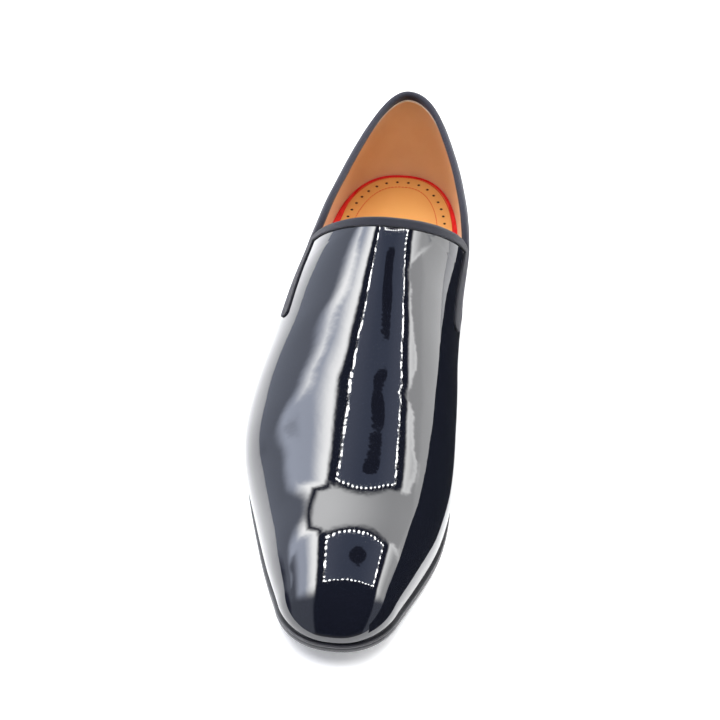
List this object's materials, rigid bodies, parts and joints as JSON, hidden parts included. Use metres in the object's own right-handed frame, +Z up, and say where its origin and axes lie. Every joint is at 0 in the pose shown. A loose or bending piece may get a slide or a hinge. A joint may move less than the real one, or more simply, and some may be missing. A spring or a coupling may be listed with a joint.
{
  "type": "patent leather loafer",
  "caption": "Right-foot slip-on dress shoe with a hollow patent leather upper, ribbon-bound opening with side notches, thin leather sole and low stacked heel.",
  "frame": {"origin": "on the floor under the middle of the heel's ground face", "axes": "+Y from toe to heel along the shoe, +X to the inner (medial) side of the right foot, +Z up"},
  "size_m": [0.0997, 0.304, 0.0903],
  "materials": {
    "patent": "mirror-gloss black patent",
    "ribbon": "ribbed matt ribbon",
    "sole_leather": "waxed black sole edge",
    "heel_stack": "waxed black stacked leather",
    "heel_rubber": "matt black rubber",
    "sock": "smooth tan leather",
    "lining": "soft brown calf",
    "thread": "red stitching thread"
  },
  "bodies": {
    "root": {"outsole": "sole_leather", "heel_base": "heel_stack", "top_lift": "heel_rubber", "upper": "patent", "insole": "sock", "collar_ribbon": "ribbon", "throat_ribbon": "ribbon"}
  },
  "joints": []
}
